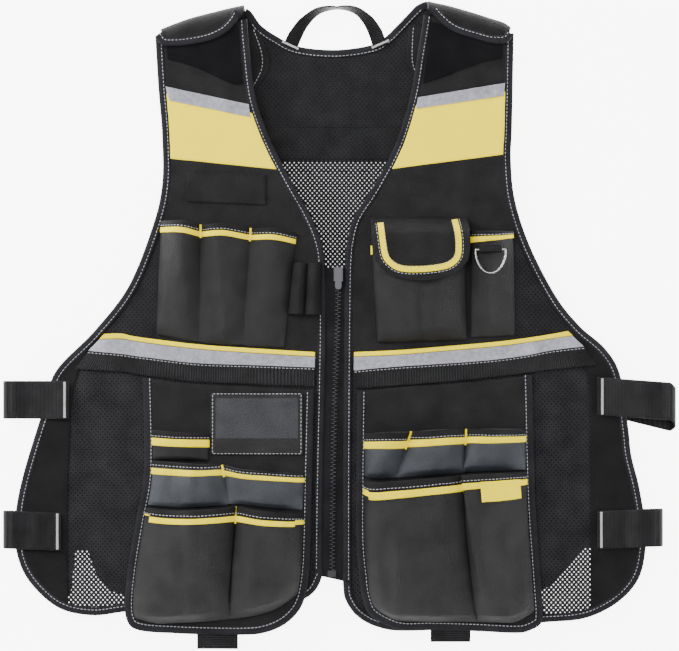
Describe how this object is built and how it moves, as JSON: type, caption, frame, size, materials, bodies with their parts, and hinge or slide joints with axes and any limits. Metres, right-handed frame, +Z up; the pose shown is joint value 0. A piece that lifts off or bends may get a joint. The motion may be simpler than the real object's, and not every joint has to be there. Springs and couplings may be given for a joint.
{
  "type": "utility work vest",
  "caption": "Black and yellow work vest with zip front, tool pockets, pocket panels hanging from a waist belt, side straps, ring and hanging loop.",
  "frame": {"origin": "on the floor under the back of the vest, at the middle of its length, under the zip", "axes": "+Z up out of the front of the vest as it lies on its back, +Y towards the neck, +X towards the wearer's left"},
  "size_m": [0.675, 0.651, 0.0516],
  "materials": {
    "black_cloth": "woven, matt",
    "mesh": "open knitted mesh",
    "yellow_cloth": "woven, slight sheen",
    "reflective": "silver reflective, slightly wrinkled",
    "binding": "rounded woven edge binding",
    "webbing": "ribbed webbing",
    "grip": "hook-and-loop pile",
    "nylon": "coated nylon, soft sheen",
    "zip_tape": "woven tape",
    "zip_plastic": "moulded teeth",
    "zip_metal": "black enamel",
    "ring": "nickel plated wire"
  },
  "bodies": {
    "vest": {"front_yoke_right": "black_cloth", "yellow_panel_right": "yellow_cloth", "chest_panel_right": "black_cloth", "side_mesh_right": "mesh", "wing_mesh_right": "mesh", "wing_edge_strip_right": "black_cloth", "front_yoke_left": "black_cloth", "yellow_panel_left": "yellow_cloth", "chest_panel_left": "black_cloth", "side_mesh_left": "mesh", "wing_mesh_left": "mesh", "wing_edge_strip_left": "black_cloth", "edge_binding_right": "binding", "edge_binding_left": "binding", "front_binding_right": "binding", "front_binding_left": "binding", "back_edge_binding": "binding", "back_neck_binding": "binding", "back_yoke_mesh": "mesh", "back_lower_mesh": "mesh", "silver_tape_right": "reflective", "silver_tape_left": "reflective", "grip_patch_right": "grip", "grip_patch_left": "grip", "blank_patch": "black_cloth", "waist_band_right": "reflective", "waist_band_left": "reflective", "waist_belt_right": "webbing", "waist_belt_left": "webbing", "shoulder_flap_right": "black_cloth", "shoulder_flap_left": "black_cloth", "shoulder_tab_right": "black_cloth", "shoulder_tab_left": "black_cloth", "hang_loop": "webbing", "strap_upper_right": "webbing", "strap_lower_right": "webbing", "strap_upper_left": "webbing", "strap_lower_left": "webbing", "zip_tape": "zip_tape", "zip_chain": "zip_plastic", "zip_slider": "zip_metal", "zip_bottom_box": "zip_plastic", "chest_tool_pocket": "black_cloth", "pen_loops": "webbing", "flap_pocket": "black_cloth", "pocket_flap": "black_cloth", "narrow_chest_pocket": "black_cloth", "ring_tab": "webbing", "pocket_panel_right": "black_cloth", "pocket_panel_left": "black_cloth", "small_pocket": "black_cloth", "card_window": "black_cloth", "middle_pocket": "nylon", "lower_pockets_right": "black_cloth", "chisel_pockets": "nylon", "lower_pockets_left": "black_cloth", "blank_label": "yellow_cloth"},
    "ring": {"d_ring": "ring"},
    "pull": {"zip_pull": "zip_metal"}
  },
  "joints": [
    {"name": "ring_hinge", "type": "hinge", "parent": "vest", "child": "ring", "pos_m": [0.1548, 0.075, 0.04065], "axis": [-1, 0, 0], "range_deg": [0, 150]},
    {"name": "pull_hinge", "type": "hinge", "parent": "vest", "child": "pull", "pos_m": [0.0033, 0.0556, 0.0385], "axis": [-1, 0, 0], "range_deg": [0, 120]}
  ]
}
